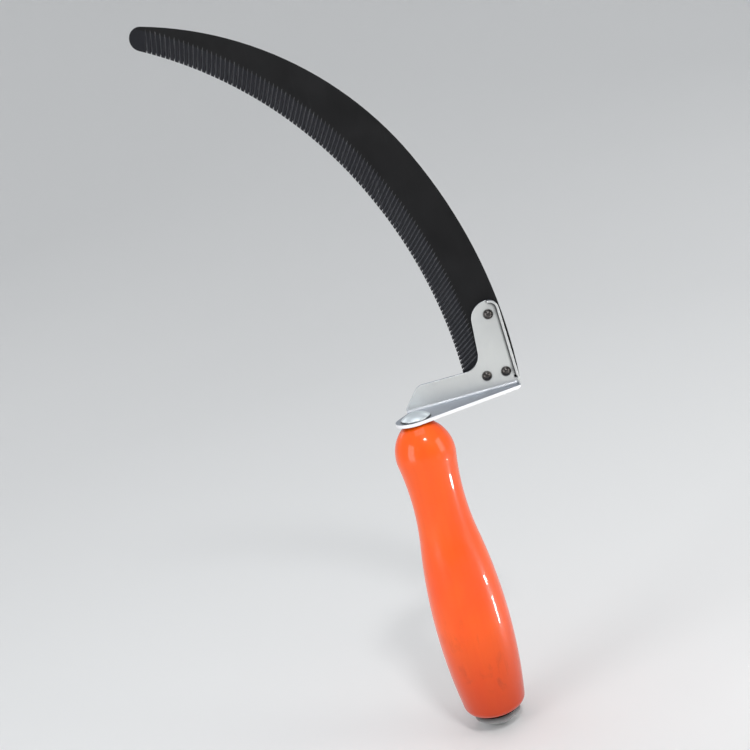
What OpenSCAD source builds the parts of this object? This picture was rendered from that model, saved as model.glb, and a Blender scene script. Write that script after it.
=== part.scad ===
// Toothed hand sickle for vine and orchard prunings.
// A curved, file-cut blade is riveted to a pressed steel bracket, and one long
// tie rod runs from the bracket's tab through a turned wooden handle to a domed butt washer.
//
// Frame, in millimetres: the origin is on the handle's axis, on the seat under the tab.
// +Z runs up the axis toward the blade, +X toward the blade's spine,
// and +Y from the bracket's open side toward the flat back of the blade.

/* [Blade] */
// Thickness of the blade's sheet
blade_t = 1.5; // [1.2:0.1:2.0]
// Where the spine stands behind the handle's axis at the heel
spine_x = 50.2; // [49.9:0.1:51.0]
// Spine radius over the lower half of the blade
spine_r_low = 227.4; // [222:0.2:234]
// Spine radius over the upper half of the blade
spine_r_high = 152.9; // [149:0.1:157]
// Where the toothed edge stands beyond the handle's axis at the heel
edge_x = 25.9; // [24:0.1:28]
// Edge radius over the lower half of the blade
edge_r_low = 217.3; // [213:0.1:222]
// Edge radius over the upper half of the blade
edge_r_high = 180.7; // [177:0.1:184]
// Radius of the rounded tip
tip_r = 5.0; // [4.4:0.1:5.6]
// Width of the ground band along the teeth
bevel_w = 8.4; // [7:0.1:9]
// Thickness left at the tips of the teeth
edge_t = 0.4; // [0.3:0.05:0.6]
// Spacing of the file cuts along the edge
tooth_pitch = 2.0; // [1.8:0.1:2.6]
// Depth of each file cut at the edge
tooth_d = 0.6; // [0.52:0.01:0.8]
// Depth of each file cut where the ground band ends
cut_end_d = 0.2; // [0.1:0.01:0.24]

/* [Bracket] */
// Thickness of the bracket's sheet
sheet_t = 1.5; // [1.2:0.1:1.8]
// Inside radius of the bend between the plate and the flange
bend_r = 1.5; // [1.0:0.1:2.0]
// Distance from the handle's axis back to the plate's front face
plate_y = 14.0; // [13.5:0.1:17]
// Height of the plate above the seat
plate_h = 41.4; // [39:0.1:46]
// Height of the arm that reaches over the handle
arm_h = 12.2; // [11.4:0.1:13.0]
// Radius of the tab's rounded end over the handle
tab_r = 8.4; // [7.9:0.1:9.2]
// Height of the stiffening lip in front of the plate
lip_h = 2.3; // [1.2:0.1:3]
// Thickness of the stiffening lip
lip_t = 0.9; // [0.8:0.1:1.4]

/* [Rivets] */
// Diameter of a rivet head
rivet_head_d = 4.5; // [4.2:0.1:5.0]
// Height of a rivet head
rivet_head_h = 1.7; // [1.3:0.1:1.9]
// Diameter of a rivet shank
rivet_d = 2.6; // [2.2:0.1:2.9]
// Depth of the countersunk tail in the back of the blade
rivet_tail = 0.7; // [0.5:0.1:0.8]

/* [Handle] */
// Length of the turned handle, from the seat to the butt washer
handle_len = 141.4; // [136:0.1:172]
// Radius of the handle's flat seat under the tab
seat_r = 5.0; // [4.6:0.1:6.0]
// Radius of the bulb at the top of the handle
bulb_r = 13.5; // [12.8:0.1:14.2]
// Depth of the bulb below the seat
bulb_z = 15.0; // [14:0.1:17]
// Radius of the neck
neck_r = 11.9; // [11.2:0.1:12.3]
// Depth of the neck below the seat
neck_z = 36.0; // [34:0.1:39]
// Radius of the belly that fills the palm
belly_r = 17.2; // [16.2:0.1:18.4]
// Depth of the belly below the seat
belly_z = 99.3; // [92:0.1:106]
// Rounding at the butt of the handle
butt_round = 4.0; // [3:0.1:5]
// Radius of the short boss that the washer bears on
boss_r = 7.0; // [6:0.1:8]
// Length of the boss
boss_h = 1.0; // [0.6:0.1:3]

/* [Tie rod] */
// Diameter of the tie rod
rod_d = 6.0; // [5:0.1:6.6]
// Radius of the rod's mushroom head on the tab
head_r = 6.6; // [5.8:0.1:6.9]
// Height of the rod's mushroom head
head_h = 3.0; // [2.4:0.1:3.6]
// Radius of the domed butt washer
washer_r = 10.8; // [9.6:0.1:13]
// Height of the butt washer
washer_t = 6.0; // [5:0.1:6.6]
// Height of the butt washer's straight rim
washer_rim = 2.2; // [1.6:0.1:2.6]

/* [Fits] */
// Gap round the tie rod in the handle and the tab, per side
rod_gap = 0.2; // [0.1:0.05:0.3]
// Gap round a rivet's shank, per side
rivet_gap = 0.05; // [0.02:0.01:0.1]

/* [Hidden] */
far = 400;
// Arcs that run tangent into their neighbours cross them by this much, too little to see.
cross_by = 0.003;

// Bracket and blade planes, from the open side to the back.
plate_back = plate_y + sheet_t;
blade_front = plate_back;
blade_back = blade_front + blade_t;
bend_out = bend_r + sheet_t;
flange_back = plate_y - bend_r;

// Plate outline, as [x, z, corner radius].
front_x = -3.3;
back_x = 49.6;
plate_pts = [
  [back_x, bend_out, 0],
  [back_x - 1.5, plate_h, 4.2],
  [35.7, plate_h, 8.2],
  [33.9, arm_h, 7.6],
  [4.4, arm_h, 5.0],
  [front_x, bend_out, 0]
];

// Where the lip starts along the plate's top.
lip_x = 43.8;

// Tab and flange, seen from above.
tab_c = [-0.9, 1.2];
flange_l = [front_x, flange_back];
flange_r = [back_x, flange_back - 3.2];

// Rivet places on the plate, as [x, z].
rivet_top_at = [43.1, 35.2];
rivet_heel_at = [35.7, 8.2];
rivet_back_at = [44.5, 8.0];

// Blade arcs: each edge is a lower arc that runs tangent into a tighter upper one.
spine_turn = 25.1;
edge_turn = 27.1;
heel_z = bend_out + 0.6;
spine_low_c = [spine_x - spine_r_low, 14.7];
spine_high_c = spine_low_c + (spine_r_low - spine_r_high) * [cos(spine_turn), sin(spine_turn)];
edge_low_c = [edge_x - edge_r_low, 9.4];
edge_high_c = edge_low_c + (edge_r_low - edge_r_high) * [cos(edge_turn), sin(edge_turn)];

// The tip circle touches the spine from inside and the toothed edge from outside.
tip_c = meet(edge_high_c, edge_r_high + tip_r, spine_high_c, spine_r_high - tip_r);
tip_spine = spine_high_c + spine_r_high * unit(tip_c - spine_high_c);
tip_edge = edge_high_c + edge_r_high * unit(tip_c - edge_high_c);

// File cuts, counted from the heel to the tip, leaning over toward the heel.
tip_turn = atan2(tip_c[1] - edge_high_c[1], tip_c[0] - edge_high_c[0]);
low_len = edge_r_low * edge_turn * PI / 180;
high_len = edge_r_high * (tip_turn - edge_turn) * PI / 180;
tooth_n = floor((low_len + high_len) / tooth_pitch) - 1;
lean_heel = 31;
lean_tip = 15;

// Rivets sit in the plate and the blade, and end flush with the blade's back.
rivet_r = rivet_d / 2;
tail_r = rivet_r + rivet_tail;

// Handle profile: bulb, neck and belly arcs run tangent into each other.
seat_drop = bulb_r - seat_r;
bulb_arc = (bulb_z * bulb_z + seat_drop * seat_drop) / (2 * seat_drop);
bulb_c = [bulb_r - bulb_arc, -bulb_z];
neck_d = bulb_r - neck_r;
neck_dz = neck_z - bulb_z;
neck_arc = (neck_dz * neck_dz + neck_d * neck_d) / (2 * neck_d) - bulb_arc;
neck_c = [neck_r + neck_arc, -neck_z];
belly_d = belly_r - neck_r;
belly_dz = belly_z - neck_z;
belly_arc = (belly_dz * belly_dz + belly_d * belly_d) / (2 * belly_d) - neck_arc;
belly_c = [belly_r - belly_arc, -belly_z];
bulb_neck = bulb_c + bulb_arc * unit(neck_c - bulb_c);
neck_belly = belly_c + belly_arc * unit(neck_c - belly_c);
wood_end = boss_h - handle_len;
butt_cz = wood_end + butt_round;
butt_cx = belly_c[0] + sqrt(pow(belly_arc - butt_round, 2) - pow(butt_cz + belly_z, 2));
butt_touch = belly_c + belly_arc * unit([butt_cx, butt_cz] - belly_c);
bore_r = rod_d / 2 + rod_gap;

// Rod ends.
head_rim = 0.7;
cap_h = head_h - head_rim;
cap_arc = (head_r * head_r + cap_h * cap_h) / (2 * cap_h);
peen_r = rod_d / 2 + 1.4;
peen_h = 1.8;
peen_arc = (peen_r * peen_r + peen_h * peen_h) / (2 * peen_h);
rod_bottom = -handle_len - washer_t;

// The washer's dome runs from its rim in to a small flat that the rod's end is hammered on.
washer_flat_r = peen_r + 0.8;
washer_dome = washer_t - washer_rim;
washer_rise = (washer_r * washer_r - washer_flat_r * washer_flat_r) / (2 * washer_dome) - washer_dome / 2;
washer_arc = sqrt(washer_r * washer_r + washer_rise * washer_rise);

function unit(v) = v / norm(v);

// The crossing of two circles that lies farther up.
function meet(a, ra, b, rb) =
  let(d = norm(b - a))
  let(u = (b - a) / d)
  let(k = (ra * ra - rb * rb + d * d) / (2 * d))
  let(h = sqrt(ra * ra - k * k))
  let(p = a + k * u)
  let(q1 = p + h * [-u[1], u[0]])
  let(q2 = p - h * [-u[1], u[0]])
  q1[1] > q2[1] ? q1 : q2;

// The point where a line from p touches a circle, on the side s = 1 or -1.
function touch(p, c, r, s) =
  let(d = norm(p - c))
  let(a = acos(r / d))
  let(b = atan2(p[1] - c[1], p[0] - c[0]))
  c + r * [cos(b + s * a), sin(b + s * a)];

// Corner helpers for an outline whose points run anticlockwise.
function cross2(a, b) = a[0] * b[1] - a[1] * b[0];
function xy(p) = [p[0], p[1]];
function to_prev(p, i) = unit(xy(p[(i + len(p) - 1) % len(p)]) - xy(p[i]));
function to_next(p, i) = unit(xy(p[(i + 1) % len(p)]) - xy(p[i]));
function half_angle(p, i) = acos(to_prev(p, i) * to_next(p, i)) / 2;
function run(p, i) = p[i][2] / tan(half_angle(p, i));
function centre(p, i) =
  xy(p[i]) + p[i][2] / sin(half_angle(p, i)) * unit(to_prev(p, i) + to_next(p, i));
function is_convex(p, i) = cross2(to_next(p, i), to_prev(p, i)) > 0;

// What a corner's rounding takes away, or what its fillet adds.
module corner(p, i) {
  difference() {
    polygon([xy(p[i]) + run(p, i) * to_next(p, i),
             xy(p[i]) + run(p, i) * to_prev(p, i),
             xy(p[i]) - 0.4 * unit(to_prev(p, i) + to_next(p, i))]);
    translate(centre(p, i)) circle(r = p[i][2] + cross_by, $fn = 96);
  }
}

// An outline with a true arc at each corner that has a radius.
module rounded(p) {
  difference() {
    polygon([for (q = p) xy(q)]);
    for (i = [0 : len(p) - 1])
      if (p[i][2] > 0 && is_convex(p, i)) corner(p, i);
  }
  for (i = [0 : len(p) - 1])
    if (p[i][2] > 0 && !is_convex(p, i)) corner(p, i);
}

// Stands a flat outline drawn in x and z upright between two y planes.
module slab(y0, y1) {
  translate([0, y1, 0]) rotate([90, 0, 0]) linear_extrude(height = y1 - y0) children();
}

// A cylinder or cone along y at a place on the plate.
module along_y(at, y0, y1, r0, r1) {
  translate([at[0], y0, at[1]]) rotate([-90, 0, 0])
    cylinder(h = y1 - y0, r1 = r0, r2 = r1, $fn = 96);
}

// The area inside two tangent arcs that meet on the ray at the angle turn.
module two_arcs(low_c, low_r, high_c, high_r, turn) {
  difference() {
    translate(low_c) circle(r = low_r, $fn = 180);
    difference() {
      translate(low_c) rotate(turn) translate([-far, 0]) square([2 * far, far]);
      translate(high_c) circle(r = high_r, $fn = 180);
    }
  }
}

// Blade outline in x and z, without its tip circle.
module blade_band() {
  difference() {
    two_arcs(spine_low_c, spine_r_low, spine_high_c, spine_r_high, spine_turn);
    two_arcs(edge_low_c, edge_r_low, edge_high_c, edge_r_high, edge_turn);
    translate([-far, heel_z - 2 * far]) square([2 * far, 2 * far]);
    polygon([tip_c,
             tip_spine,
             tip_spine + 20 * unit(tip_spine - tip_c),
             [tip_c[0] - far, tip_spine[1] + far / 4],
             [tip_c[0] - far, -far],
             [edge_high_c[0], edge_high_c[1]],
             tip_edge]);
  }
}

// What the grinding takes off the front, down to a thin edge along one arc.
module ground(c, r, turn, side) {
  slope = (blade_t - edge_t) / bevel_w;
  over = 0.5;
  intersection() {
    along_y(c, blade_front - over, blade_back - edge_t, r + bevel_w + over / slope, r);
    translate([c[0], blade_front - 1, c[1]]) rotate([0, -turn, 0])
      translate([-far, 0, side > 0 ? 0 : -far]) cube([2 * far, blade_t + 2, far]);
  }
}

// One V-shaped file cut, deepest at the edge and running out a little past the ground band.
module file_cut(c, r, a, lean) {
  drop = blade_t - edge_t + tooth_d - cut_end_d;
  dive = atan(drop * cos(lean) / bevel_w);
  translate([c[0] + r * cos(a), blade_back - edge_t + tooth_d, c[1] + r * sin(a)])
    rotate([0, -a - lean, 0])
      rotate([0, 0, -dive])
        translate([-3, 0, 0]) rotate([-45, 0, 0]) translate([0, -3, -3]) cube([18, 3, 3]);
}

module blade() {
  color([0.13, 0.13, 0.15])
  difference() {
    slab(blade_front, blade_back) {
      blade_band();
      translate(tip_c) circle(r = tip_r, $fn = 96);
    }
    ground(edge_low_c, edge_r_low, edge_turn, -1);
    ground(edge_high_c, edge_r_high, edge_turn, 1);
    for (i = [2 : tooth_n]) {
      s = i * tooth_pitch;
      lean = lean_heel + (lean_tip - lean_heel) * i / tooth_n;
      if (s < low_len)
        file_cut(edge_low_c, edge_r_low, s / edge_r_low * 180 / PI, lean);
      else
        file_cut(edge_high_c, edge_r_high, edge_turn + (s - low_len) / edge_r_high * 180 / PI, lean);
    }
    rivet_holes(blade_front - 1, blade_back + 1);
    for (at = [rivet_top_at, rivet_heel_at, rivet_back_at])
      along_y(at, blade_back - rivet_tail, blade_back, rivet_r, tail_r);
  }
}

module rivet_holes(y0, y1) {
  for (at = [rivet_top_at, rivet_heel_at, rivet_back_at])
    along_y(at, y0, y1, rivet_r + rivet_gap, rivet_r + rivet_gap);
}

// The lip stands on the plate's rear edge and follows the rounded corner at the top.
module lip_outline() {
  intersection() {
    difference() {
      rounded(plate_pts);
      rounded([
        [back_x - lip_t, bend_out - 5, 0],
        [back_x - 1.5 - lip_t, plate_h - lip_t, 4.2 - lip_t],
        [20, plate_h - lip_t, 0],
        [20, bend_out - 5, 0]
      ]);
    }
    translate([lip_x, bend_out]) square([20, 60]);
  }
}

// Flange and tab outline, seen from above.
module flange_outline() {
  circle_left = touch(flange_l, tab_c, tab_r - cross_by, 1);
  circle_right = touch(flange_r, tab_c, tab_r - cross_by, -1);
  translate(tab_c) circle(r = tab_r, $fn = 128);
  polygon([flange_l, circle_left, tab_c, circle_right, flange_r, [back_x, flange_back]]);
}

module bracket() {
  color([0.78, 0.79, 0.80])
  difference() {
    union() {
      slab(plate_y, plate_back) rounded(plate_pts);
      slab(plate_y - lip_h, plate_y + sheet_t / 2) lip_outline();
      translate([back_x - lip_t, plate_y - lip_h, sheet_t / 2]) cube([lip_t, lip_h, bend_out - sheet_t / 2]);
      linear_extrude(height = sheet_t) flange_outline();
      bend();
    }
    // The lower rear corner is rounded off, with a small relief where lip and bend meet.
    translate([back_x - bend_out, 0, 0])
      difference() {
        translate([0, -20, -1]) cube([bend_out + 1, 60, bend_out + 1]);
        along_y([0, bend_out], -21, 41, bend_out + cross_by, bend_out + cross_by);
      }
    along_y([back_x - lip_t - 0.6, bend_out + 1.8], plate_y - 5, plate_back + 1, 0.7, 0.7);
    rivet_holes(plate_y - 1, plate_back + 1);
    translate([0, 0, -1]) cylinder(h = sheet_t + 2, r = bore_r, $fn = 96);
  }
}

// The quarter bend between the flange and the plate.
module bend() {
  intersection() {
    translate([flange_l[0], flange_back, bend_out]) rotate([0, 90, 0])
      difference() {
        cylinder(h = back_x - flange_l[0], r = bend_out, $fn = 96);
        translate([0, 0, -1]) cylinder(h = far, r = bend_r, $fn = 96);
      }
    translate([-20, flange_back, 0]) cube([100, bend_out, bend_out]);
  }
}

// A domed head in front of the plate, a shank, and a countersunk tail in the blade's back.
module rivet(at) {
  dome = (rivet_head_d * rivet_head_d / 4 + rivet_head_h * rivet_head_h) / (2 * rivet_head_h);
  color([0.33, 0.31, 0.30]) {
    intersection() {
      translate([at[0], plate_y - rivet_head_h + dome, at[1]]) sphere(r = dome, $fn = 96);
      translate([at[0] - 5, plate_y - 5, at[1] - 5]) cube([10, 5, 10]);
    }
    along_y(at, plate_y - 0.5, blade_back, rivet_r, rivet_r);
    along_y(at, blade_back - rivet_tail, blade_back, rivet_r, tail_r);
  }
}

module rivet_top() {
  rivet(rivet_top_at);
}

module rivet_heel() {
  rivet(rivet_heel_at);
}

module rivet_back() {
  rivet(rivet_back_at);
}

// Half of the handle's profile, right of its axis.
module handle_profile() {
  difference() {
    translate([0, -handle_len]) square([belly_r + 1, handle_len]);
    translate(neck_c) circle(r = neck_arc + cross_by, $fn = 180);
    difference() {
      translate([1, bulb_neck[1]]) square([60, 5 - bulb_neck[1]]);
      translate(bulb_c) circle(r = bulb_arc, $fn = 180);
    }
    difference() {
      translate([1, -handle_len - 5]) square([60, neck_belly[1] + handle_len + 5]);
      translate(belly_c) circle(r = belly_arc, $fn = 180);
    }
    difference() {
      translate([butt_cx, -handle_len - 5]) square([60, butt_touch[1] + handle_len + 5]);
      translate([butt_cx, butt_cz]) circle(r = butt_round + cross_by, $fn = 96);
    }
    translate([boss_r, -handle_len - 5]) square([60, boss_h + 5]);
  }
}

module handle() {
  color([0.96, 0.36, 0.10])
  difference() {
    rotate_extrude($fn = 128) handle_profile();
    translate([0, 0, -handle_len - 1]) cylinder(h = handle_len + 2, r = bore_r, $fn = 96);
  }
}

module tie_rod() {
  color([0.74, 0.76, 0.77]) {
    translate([0, 0, rod_bottom - 0.5]) cylinder(h = sheet_t - rod_bottom + 1, r = rod_d / 2, $fn = 96);
    intersection() {
      translate([0, 0, sheet_t]) cylinder(h = head_h + 1, r = head_r, $fn = 128);
      translate([0, 0, sheet_t + head_h - cap_arc]) sphere(r = cap_arc, $fn = 128);
    }
    intersection() {
      translate([0, 0, rod_bottom - peen_h + peen_arc]) sphere(r = peen_arc, $fn = 96);
      translate([-10, -10, rod_bottom - 10]) cube([20, 20, 10]);
    }
  }
}

module butt_washer() {
  color([0.62, 0.63, 0.64])
  difference() {
    intersection() {
      translate([0, 0, rod_bottom]) cylinder(h = washer_t, r = washer_r, $fn = 128);
      translate([0, 0, washer_rise - handle_len - washer_rim]) sphere(r = washer_arc, $fn = 128);
    }
    translate([0, 0, rod_bottom - 1]) cylinder(h = washer_t + 2, r = bore_r, $fn = 96);
  }
}

blade();
bracket();
rivet_top();
rivet_heel();
rivet_back();
handle();
tie_rod();
butt_washer();
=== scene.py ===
"""Looks for a toothed hand sickle: a black file-cut blade riveted to a zinc-plated
bracket, an orange lacquered turned handle, a tie rod and a domed butt washer.
Everything is in metres, in the CAD part's own frame: +Z up the handle's axis,
+X toward the blade's spine, +Y out of the blade's flat back."""

import math

import bpy
from mathutils import Matrix, Vector


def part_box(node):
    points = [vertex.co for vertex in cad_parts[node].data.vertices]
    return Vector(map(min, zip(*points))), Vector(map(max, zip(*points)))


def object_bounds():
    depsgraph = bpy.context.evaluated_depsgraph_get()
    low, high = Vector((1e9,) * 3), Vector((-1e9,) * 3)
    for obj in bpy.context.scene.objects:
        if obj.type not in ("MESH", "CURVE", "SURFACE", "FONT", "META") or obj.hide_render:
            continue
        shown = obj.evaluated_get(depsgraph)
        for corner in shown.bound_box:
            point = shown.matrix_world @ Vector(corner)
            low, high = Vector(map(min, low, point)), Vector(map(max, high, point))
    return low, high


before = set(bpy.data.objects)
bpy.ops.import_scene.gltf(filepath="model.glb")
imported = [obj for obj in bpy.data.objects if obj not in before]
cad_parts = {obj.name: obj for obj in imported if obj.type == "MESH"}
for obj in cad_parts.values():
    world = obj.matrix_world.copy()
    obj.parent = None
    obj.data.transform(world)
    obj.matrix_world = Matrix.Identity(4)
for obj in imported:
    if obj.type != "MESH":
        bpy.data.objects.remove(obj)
cad_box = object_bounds()

MM = 0.001


# ---------------------------------------------------------------- node helpers

class Nodes:
    """Short calls for building one material's node tree."""

    def __init__(self, name):
        self.mat = bpy.data.materials.new(name)
        self.mat.use_nodes = True
        self.tree = self.mat.node_tree
        self.tree.nodes.clear()
        self.out = self.tree.nodes.new("ShaderNodeOutputMaterial")
        self.bsdf = self.tree.nodes.new("ShaderNodeBsdfPrincipled")
        self.link(self.bsdf.outputs[0], self.out.inputs[0])
        self.coord = self.tree.nodes.new("ShaderNodeTexCoord")
        self.place = self.coord.outputs["Object"]

    def link(self, a, b):
        self.tree.links.new(a, b)

    def put(self, value, socket):
        """Feeds a socket from another node's output, or sets it to a constant."""
        if isinstance(value, bpy.types.NodeSocket):
            self.link(value, socket)
        elif value is not None:
            socket.default_value = value

    def set(self, name, value):
        self.put(value, self.bsdf.inputs[name])

    def scaled(self, scale, rotation=(0.0, 0.0, 0.0)):
        """The place on the piece, stretched so that a pattern runs long one way."""
        n = self.tree.nodes.new("ShaderNodeMapping")
        self.link(self.place, n.inputs[0])
        n.inputs["Scale"].default_value = scale
        n.inputs["Rotation"].default_value = rotation
        return n.outputs[0]

    def noise(self, vector, scale, detail=4.0, rough=0.55, distort=0.0):
        n = self.tree.nodes.new("ShaderNodeTexNoise")
        self.put(vector, n.inputs["Vector"])
        n.inputs["Scale"].default_value = scale
        n.inputs["Detail"].default_value = detail
        n.inputs["Roughness"].default_value = rough
        n.inputs["Distortion"].default_value = distort
        return n.outputs["Fac"]

    def cells(self, vector, scale):
        """The distance to the nearest of many scattered points, for small spots."""
        n = self.tree.nodes.new("ShaderNodeTexVoronoi")
        self.put(vector, n.inputs["Vector"])
        n.inputs["Scale"].default_value = scale
        return n.outputs["Distance"]

    def remap(self, value, a, b, c=0.0, d=1.0):
        """c where the value is a, d where it is b, and a straight ramp between."""
        n = self.tree.nodes.new("ShaderNodeMapRange")
        self.put(value, n.inputs["Value"])
        n.inputs["From Min"].default_value = a
        n.inputs["From Max"].default_value = b
        n.inputs["To Min"].default_value = c
        n.inputs["To Max"].default_value = d
        return n.outputs["Result"]

    def math(self, op, a, b=0.0):
        n = self.tree.nodes.new("ShaderNodeMath")
        n.operation = op
        self.put(a, n.inputs[0])
        self.put(b, n.inputs[1])
        return n.outputs[0]

    def vector(self, op, a, b, out="Vector"):
        n = self.tree.nodes.new("ShaderNodeVectorMath")
        n.operation = op
        self.put(a, n.inputs[0])
        self.put(b, n.inputs[1])
        return n.outputs[out]

    def mix(self, fac, a, b):
        n = self.tree.nodes.new("ShaderNodeMix")
        n.data_type = "RGBA"
        self.put(fac, n.inputs["Factor"])
        self.put(a, n.inputs["A"])
        self.put(b, n.inputs["B"])
        return n.outputs["Result"]

    def axis(self, letter, source=None):
        """One coordinate of the place on the piece, or of another vector."""
        n = self.tree.nodes.new("ShaderNodeSeparateXYZ")
        self.link(source or self.place, n.inputs[0])
        return n.outputs[letter]

    def facing(self, letter):
        """How squarely the bare surface faces along an axis, from 0 to 1."""
        n = self.tree.nodes.new("ShaderNodeNewGeometry")
        return self.math("ABSOLUTE", self.axis(letter, n.outputs["True Normal"]))

    def toward(self, direction):
        """How much the bare surface faces one way: 1 straight at it, below 0 away."""
        n = self.tree.nodes.new("ShaderNodeNewGeometry")
        way = Vector(direction).normalized()
        return self.vector("DOT_PRODUCT", n.outputs["True Normal"], tuple(way), "Value")

    def edges(self, radius):
        """A normal rounded over the edges, and a mask that is 1 on the edges."""
        soft = self.tree.nodes.new("ShaderNodeBevel")
        soft.samples = 6
        soft.inputs["Radius"].default_value = radius
        flat = self.tree.nodes.new("ShaderNodeNewGeometry")
        same = self.vector("DOT_PRODUCT", soft.outputs[0], flat.outputs["Normal"], "Value")
        return soft.outputs[0], self.remap(same, 0.995, 0.90)

    def crevice(self, reach, shut=0.42, open_=0.78):
        """A mask for painted shade: 1 deep in a corner between surfaces, such as round a rivet head,
        and 0 in the open.
        """
        n = self.tree.nodes.new("ShaderNodeAmbientOcclusion")
        n.samples = 12
        n.inputs["Distance"].default_value = reach
        return self.remap(n.outputs["AO"], open_, shut)

    def bump(self, height, distance, strength=1.0, normal=None):
        """A normal bent by a height, on top of another normal if one is given."""
        n = self.tree.nodes.new("ShaderNodeBump")
        n.inputs["Strength"].default_value = strength
        n.inputs["Distance"].default_value = distance
        self.put(height, n.inputs["Height"])
        if normal is not None:
            self.link(normal, n.inputs["Normal"])
        return n.outputs[0]


def rgb(r, g, b):
    """An opaque colour."""
    return (r, g, b, 1.0)


# ------------------------------------------------------------------- materials

def lacquered_wood(name):
    """Glossy orange lacquer on turned wood: faint grain, dip runs, darker towards the butt, and grime
    low down.
    """
    deep, bright = rgb(1.0, 0.090, 0.003), rgb(1.0, 0.120, 0.005)
    grain_line = rgb(0.78, 0.056, 0.002)
    low_down = rgb(0.46, 0.028, 0.002)
    grime_brown = rgb(0.34, 0.036, 0.008)
    speck_brown = rgb(0.18, 0.03, 0.015)
    grime_from, grime_full = -75 * MM, -115 * MM
    low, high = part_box("handle")
    fade_from = high[2] * 0.4 + low[2] * 0.66
    k = Nodes(name)
    grain = k.noise(k.scaled((1.0, 1.0, 0.05)), 520.0, 6.0, 0.6, 0.3)
    broad = k.noise(k.scaled((1.0, 1.0, 0.35)), 42.0, 3.0, 0.5, 0.4)
    peel = k.noise(k.place, 330.0, 2.0, 0.5)
    colour = k.mix(k.remap(broad, 0.35, 0.65), deep, bright)
    colour = k.mix(k.remap(grain, 0.45, 0.75, 0.0, 0.16), colour, grain_line)
    # The colour darkens smoothly towards the butt.
    down = k.remap(k.axis("Z"), fade_from, low[2])
    colour = k.mix(k.math("MULTIPLY", down, 0.85), colour, low_down)
    streaks = k.noise(k.scaled((1.0, 1.0, 0.45)), 120.0, 5.0, 0.62, 0.8)
    blot = k.remap(streaks, 0.53, 0.70)
    grime = k.math("MULTIPLY", k.remap(k.axis("Z"), grime_from, grime_full), blot)
    colour = k.mix(k.math("MULTIPLY", grime, 0.38), colour, grime_brown)
    speck = k.remap(k.cells(k.place, 260.0), 0.10, 0.05, 0.0, 0.35)
    colour = k.mix(k.math("MULTIPLY", speck, blot), colour, speck_brown)
    k.set("Base Color", colour)
    k.set("Roughness", k.remap(broad, 0.2, 0.8, 0.30, 0.42))
    k.set("Coat Weight", 0.60)
    k.set("Coat Roughness", 0.05)
    k.set("Specular IOR Level", 0.16)
    fine = k.bump(peel, 0.05 * MM, 0.30)
    k.set("Normal", k.bump(broad, 0.4 * MM, 0.20, fine))
    return k.mat


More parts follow.
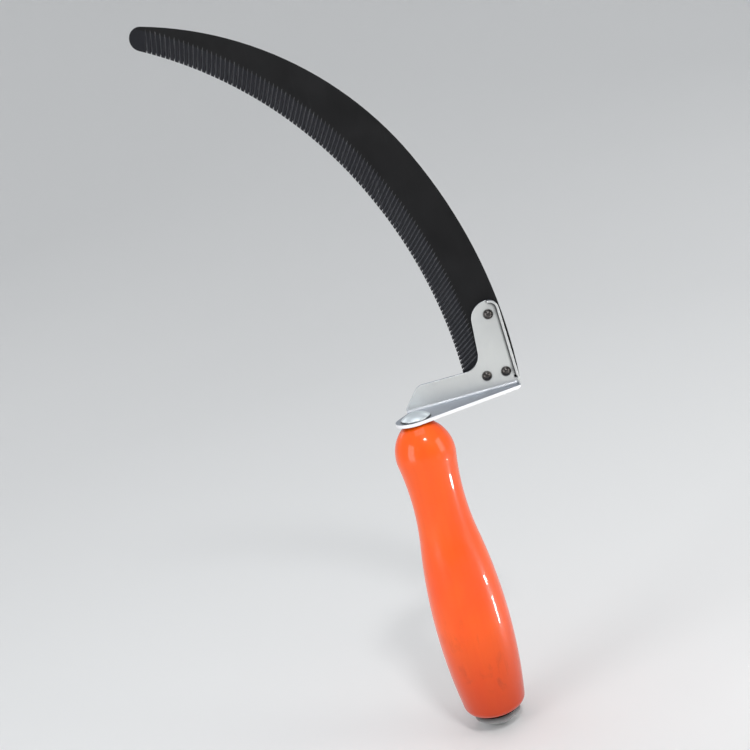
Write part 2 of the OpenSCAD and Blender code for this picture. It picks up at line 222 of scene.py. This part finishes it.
def zinc(name, tint, shade, lit_edge_height):
    """Bright zinc plating: soft blotches, draw lines and spots, with painted light on top: edges
    worn and lit as a painted highlight, painted shade in the crevices, and level faces and the bend
    darker by shade as painted shade. Below the height of the last argument, faces on their side are
    painted white, a painted highlight."""
    blotch_grey, scratch_grey = rgb(0.50, 0.53, 0.56), rgb(0.42, 0.44, 0.46)
    spot_grey = rgb(0.34, 0.34, 0.33)
    bend_shade_grey, level_shade_grey = rgb(0.40, 0.43, 0.50), rgb(0.36, 0.39, 0.45)
    far_shade_grey = rgb(0.15, 0.17, 0.21)
    rubbed_edge_highlight, painted_shade_colour, lit_edge_white = rgb(0.93, 0.95, 0.97), rgb(0.020, 0.020, 0.023), rgb(0.97, 0.98, 1.0)
    arm_from, arm_to = 4 * MM, 46 * MM
    unshaded_from, unshaded_to = 45 * MM, 47 * MM
    unshaded_over, unshaded_under = 4.8 * MM, 3.6 * MM
    k = Nodes(name)
    normal, edge = k.edges(0.35 * MM)
    blotch = k.noise(k.place, 90.0, 3.0, 0.55, 0.4)
    wide = k.noise(k.place, 26.0, 3.0, 0.5)
    scratch = k.noise(k.scaled((1.0, 1.0, 0.03), (0.0, 0.62, 0.0)), 1500.0, 3.0, 0.6)
    pale = rgb(min(1.0, tint[0] * 1.13), min(1.0, tint[1] * 1.13), min(1.0, tint[2] * 1.12))
    base = k.mix(k.remap(wide, 0.35, 0.65), rgb(*tint), pale)
    base = k.mix(k.remap(blotch, 0.50, 0.74, 0.0, 0.22), base, blotch_grey)
    base = k.mix(k.remap(scratch, 0.60, 0.80, 0.0, 0.18), base, scratch_grey)
    spot = k.remap(k.cells(k.place, 150.0), 0.065, 0.03, 0.0, 0.30)
    base = k.mix(k.math("MULTIPLY", spot, k.remap(wide, 0.45, 0.6)), base, spot_grey)
    # Painted shade: the bend, the level faces and, further out along the arm, the level faces again
    # are darkened by the way they face the light.
    up = k.facing("Z")
    level = k.math("MULTIPLY", k.remap(up, 0.75, 0.98), shade)
    bend = k.math("MULTIPLY", k.remap(up, 0.05, 0.35), shade)
    along = k.remap(k.axis("X"), arm_from, arm_to, 0.0, 0.75)
    base = k.mix(k.math("MULTIPLY", bend, 0.75), base, bend_shade_grey)
    base = k.mix(level, base, level_shade_grey)
    base = k.mix(k.math("MULTIPLY", level, along), base, far_shade_grey)
    # Edges worn lighter, partly a painted highlight along the sheet's outline.
    base = k.mix(k.math("MULTIPLY", edge, 0.80), base, rubbed_edge_highlight)
    # Painted shade in the crevices, darkest in corners between surfaces, left off at the lower outer
    # corner of the arm.
    outer = k.remap(k.axis("X"), unshaded_from, unshaded_to)
    lower = k.remap(k.axis("Z"), unshaded_over, unshaded_under)
    keep = k.math("SUBTRACT", 0.95, k.math("MULTIPLY", outer, lower))
    crevice_shade = k.math("MULTIPLY", k.crevice(2.0 * MM, 0.58, 0.88), keep)
    base = k.mix(crevice_shade, base, painted_shade_colour)
    # A painted highlight: below the given height, faces on their side are painted near white and made
    # less metallic.
    low = k.remap(k.axis("Z"), lit_edge_height + 0.2 * MM, lit_edge_height)
    lit_edge = k.math("MULTIPLY", low, k.remap(up, 0.30, 0.10))
    base = k.mix(lit_edge, base, lit_edge_white)
    k.set("Base Color", base)
    metal = k.remap(blotch, 0.3, 0.8, 0.86, 0.74)
    k.set("Metallic", k.math("SUBTRACT", metal, k.math("MULTIPLY", lit_edge, 0.6)))
    rough = k.remap(blotch, 0.3, 0.7, 0.30, 0.40)
    rough = k.math("ADD", rough, k.remap(scratch, 0.5, 0.8, 0.0, 0.10))
    rough = k.math("ADD", rough, k.math("MULTIPLY", bend, 0.14))
    k.set("Roughness", rough)
    fine = k.bump(scratch, 0.02 * MM, 0.25, normal)
    k.set("Normal", k.bump(blotch, 0.10 * MM, 0.12, fine))
    return k.mat


def black_blade(name):
    """Black oxidised steel. The ground band is painted bluer, a painted reflection. The file cuts
    show bare metal, painted only on the flank that faces the light, a painted highlight, and the worn
    edges are lighter, partly a painted highlight.
    """
    black, worn_black = rgb(0.0036, 0.0036, 0.0040), rgb(0.0075, 0.0075, 0.0084)
    rub_grey, band_reflection_blue = rgb(0.024, 0.024, 0.026), rgb(0.0095, 0.0100, 0.0135)
    cut_highlight_grey, edge_wear_highlight = rgb(0.085, 0.088, 0.098), rgb(0.20, 0.20, 0.21)
    k = Nodes(name)
    normal, edge = k.edges(0.22 * MM)
    square = k.facing("Y")
    band = k.remap(square, 0.9985, 0.9945)
    # A painted highlight: bare metal is painted only on the flank of each file cut that faces up
    # towards the light.
    lit_side = k.remap(k.toward((-0.6, 0.0, 0.8)), 0.15, 0.45)
    lit_cut_flank = k.math("MULTIPLY", k.remap(square, 0.97, 0.90), lit_side)
    cloud = k.noise(k.place, 60.0, 5.0, 0.6, 0.5)
    fine = k.noise(k.place, 1300.0, 3.0, 0.6)
    rub = k.noise(k.scaled((1.0, 1.0, 0.08), (0.0, 0.45, 0.0)), 700.0, 4.0, 0.6)
    base = k.mix(k.remap(cloud, 0.35, 0.7), black, worn_black)
    base = k.mix(k.remap(rub, 0.60, 0.82, 0.0, 0.30), base, rub_grey)
    # A painted reflection: the ground band is painted a lighter blue-black.
    base = k.mix(band, base, band_reflection_blue)
    bared = k.remap(cloud, 0.3, 0.7, 0.55, 1.0)
    base = k.mix(k.math("MULTIPLY", lit_cut_flank, bared), base, cut_highlight_grey)
    worn = k.remap(rub, 0.35, 0.65, 0.15, 0.9)
    # Edges worn lighter, partly a painted highlight.
    base = k.mix(k.math("MULTIPLY", edge, worn), base, edge_wear_highlight)
    k.set("Base Color", base)
    k.set("Metallic", k.math("MULTIPLY", k.math("MAXIMUM", lit_cut_flank, edge), 0.7))
    rough = k.remap(cloud, 0.3, 0.7, 0.44, 0.56)
    k.set("Roughness", k.math("ADD", rough, k.remap(fine, 0.4, 0.7, 0.0, 0.06)))
    k.set("Specular IOR Level", 0.22)
    tooth = k.bump(fine, 0.04 * MM, 0.45, normal)
    k.set("Normal", k.bump(cloud, 0.2 * MM, 0.15, tooth))
    return k.mat


def dark_steel(name):
    """Upset rivet steel: smooth, dark and oily, with painted shade round its foot."""
    dark, grey = rgb(0.052, 0.047, 0.045), rgb(0.120, 0.112, 0.108)
    painted_shade_colour = rgb(0.015, 0.014, 0.014)
    k = Nodes(name)
    cloud = k.noise(k.place, 420.0, 4.0, 0.6)
    base = k.mix(k.remap(cloud, 0.35, 0.7), dark, grey)
    # Painted shade round the rivet's foot, where it meets the bracket.
    base = k.mix(k.math("MULTIPLY", k.crevice(1.2 * MM), 0.8), base, painted_shade_colour)
    k.set("Base Color", base)
    k.set("Metallic", 1.0)
    k.set("Roughness", k.remap(cloud, 0.3, 0.7, 0.18, 0.26))
    k.set("Normal", k.bump(cloud, 0.1 * MM, 0.18))
    return k.mat


def plain_steel(name):
    """Spun steel washer: fine turned rings, a rubbed rim that is partly a painted highlight, and
    painted shade on its upper half, under the wood.
    """
    grey, pale = rgb(0.42, 0.425, 0.43), rgb(0.56, 0.565, 0.57)
    painted_shade_colour = rgb(0.026, 0.021, 0.020)
    ring_grey, rubbed_edge_highlight = rgb(0.14, 0.145, 0.15), rgb(0.70, 0.71, 0.72)
    k = Nodes(name)
    normal, edge = k.edges(0.4 * MM)
    cloud = k.noise(k.place, 260.0, 4.0, 0.6)
    off = k.vector("MULTIPLY", k.place, (1.0, 1.0, 0.0))
    radius = k.vector("LENGTH", off, None, "Value")
    rings = k.tree.nodes.new("ShaderNodeCombineXYZ")
    k.link(radius, rings.inputs[0])
    turned = k.noise(rings.outputs[0], 2600.0, 2.0, 0.5)
    low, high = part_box("butt_washer")
    # Painted shade: the washer darkens towards its top, under the wood's end.
    upper_shade = k.remap(k.axis("Z"), low[2] * 0.55 + high[2] * 0.45, high[2])
    base = k.mix(k.remap(cloud, 0.35, 0.7), grey, pale)
    base = k.mix(k.math("MULTIPLY", upper_shade, 0.95), base, painted_shade_colour)
    base = k.mix(k.remap(turned, 0.45, 0.7, 0.0, 0.25), base, ring_grey)
    # The rim worn lighter, partly a painted highlight.
    base = k.mix(k.math("MULTIPLY", edge, 0.22), base, rubbed_edge_highlight)
    k.set("Base Color", base)
    k.set("Metallic", 0.9)
    k.set("Roughness", k.remap(cloud, 0.3, 0.7, 0.34, 0.48))
    k.set("Normal", k.bump(turned, 0.04 * MM, 0.4, normal))
    return k.mat


def studio_paper(name):
    """Plain pale paper, nearly without shine."""
    k = Nodes(name)
    k.set("Base Color", rgb(0.80, 0.80, 0.80))
    k.set("Roughness", 0.9)
    k.set("Specular IOR Level", 0.1)
    return k.mat


def dress(node, material):
    """Gives a CAD node its material."""
    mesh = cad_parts[node].data
    mesh.materials.clear()
    mesh.materials.append(material)


# ------------------------------------------------------------------ the pieces

RIVETS = ("rivet_top", "rivet_heel", "rivet_back")


def dress_all():
    """Gives every CAD node its material. For the rod, the height below which side faces get the
    painted white highlight is put far below it, so it has none.
    """
    far_down = 1.0
    rivet_steel = dark_steel("rivet_steel")
    dress("blade", black_blade("blade_black"))
    dress("bracket", zinc("bracket_zinc", (0.71, 0.72, 0.71), 0.7, 1.5 * MM))
    dress("tie_rod", zinc("rod_zinc", (0.74, 0.80, 0.84), 0.0, -far_down))
    dress("handle", lacquered_wood("handle_lacquer"))
    dress("butt_washer", plain_steel("washer_steel"))
    for rivet in RIVETS:
        dress(rivet, rivet_steel)


# ------------------------------------------------------------------ the studio

def make_cove(radius=0.9, fillet=1.6, top=1.8):
    """A round paper cove: a flat floor under the butt that curves up into a wall."""
    low = cad_box[0][2]
    hub, steps, count = 0.02, 12, 96
    profile = [(hub, 0.0), (radius * 0.5, 0.0), (radius, 0.0)]
    for step in range(1, steps + 1):
        a = math.radians(90.0 * step / steps)
        profile.append((radius + fillet * math.sin(a), fillet * (1.0 - math.cos(a))))
    profile.append((radius + fillet, top))
    verts = []
    for r, z in profile:
        for i in range(count):
            a = 2 * math.pi * i / count
            verts.append((r * math.cos(a), r * math.sin(a), low + z))
    faces = [tuple(range(count))]
    for ring in range(len(profile) - 1):
        inner, outer = ring * count, (ring + 1) * count
        for i in range(count):
            j = (i + 1) % count
            faces.append((inner + i, outer + i, outer + j, inner + j))
    mesh = bpy.data.meshes.new("cove")
    mesh.from_pydata(verts, [], faces)
    mesh.shade_smooth()
    cove = bpy.data.objects.new("cove", mesh)
    bpy.context.scene.collection.objects.link(cove)
    mesh.materials.append(studio_paper("studio_paper"))


def area(name, at, target, power, size_x, size_y, colour=(1.0, 1.0, 1.0)):
    """A soft box that the camera itself doesn't see."""
    data = bpy.data.lights.new(name, "AREA")
    data.shape = "RECTANGLE"
    data.size = size_x
    data.size_y = size_y
    data.energy = power
    data.color = colour
    lamp = bpy.data.objects.new(name, data)
    bpy.context.scene.collection.objects.link(lamp)
    lamp.location = at
    toward = Vector(target) - Vector(at)
    lamp.rotation_euler = toward.to_track_quat("-Z", "Y").to_euler()
    lamp.visible_camera = False
    return lamp


def glint(name, at, target, power, size_x, size_y):
    """A small lamp that lights no colour and shows only as a highlight."""
    area(name, at, target, power, size_x, size_y).visible_diffuse = False


def make_lights():
    """Soft boxes round the tool, two small lamps for the lacquer's highlights, and a pale sky."""
    mid = (0.0, 0.0, 0.0)
    warm, cool, sky = (1.0, 0.97, 0.92), (0.95, 0.98, 1.0), rgb(0.90, 0.93, 0.96)
    neck, belly = (0.0, 0.0, -0.03), (0.0, 0.0, -0.09)
    area("key", (0.22, -0.66, 0.78), mid, 3.0, 0.13, 0.13)
    area("left_box", (-0.80, -0.55, 0.22), mid, 3.2, 0.45, 0.72)
    area("right_box", (0.90, -0.35, 0.20), mid, 2.6, 0.40, 0.60, warm)
    area("overhead", (0.0, -0.20, 2.10), mid, 10.0, 1.4, 1.4, cool)
    area("back_right", (0.75, 0.95, 0.75), mid, 1.2, 0.6, 0.7)
    area("back_left", (-0.75, 0.95, 0.75), mid, 1.2, 0.6, 0.7)
    glint("neck_glint", (0.246, -0.048, -0.136), neck, 0.13, 0.026, 0.012)
    glint("belly_glint", (0.130, -0.022, -0.135), belly, 0.060, 0.008, 0.024)
    world = bpy.data.worlds.new("studio")
    world.use_nodes = True
    background = world.node_tree.nodes["Background"]
    background.inputs["Color"].default_value = sky
    background.inputs["Strength"].default_value = 0.50
    bpy.context.scene.world = world
    bpy.context.scene.view_settings.view_transform = "Standard"


def make_camera(aim, azimuth, elevation, roll, distance, lens):
    """Looks along +Y and a little down, turned about its own line of sight by roll."""
    data = bpy.data.cameras.new("camera")
    data.sensor_fit = "HORIZONTAL"
    data.sensor_width = 36.0
    data.lens = lens
    data.clip_start = 0.01
    data.clip_end = 50.0
    camera = bpy.data.objects.new("camera", data)
    bpy.context.scene.collection.objects.link(camera)
    a = math.radians(azimuth)
    e = math.radians(elevation)
    r = math.radians(roll)
    back = Vector((math.sin(a) * math.cos(e), -math.cos(a) * math.cos(e), math.sin(e)))
    level = Vector((math.cos(a), math.sin(a), 0.0))
    rise = back.cross(level)
    right = level * math.cos(r) - rise * math.sin(r)
    up = rise * math.cos(r) + level * math.sin(r)
    turn = Matrix((right, up, back)).transposed()
    camera.matrix_world = Matrix.Translation(Vector(aim) + back * distance) @ turn.to_4x4()
    bpy.context.scene.camera = camera


make_camera(
    aim=(-12.15 * MM, 4.75 * MM, 24.34 * MM),
    azimuth=2.0,
    elevation=12.0,
    roll=15.95,
    distance=522 * MM,
    lens=57.07,
)
dress_all()
make_cove()
make_lights()
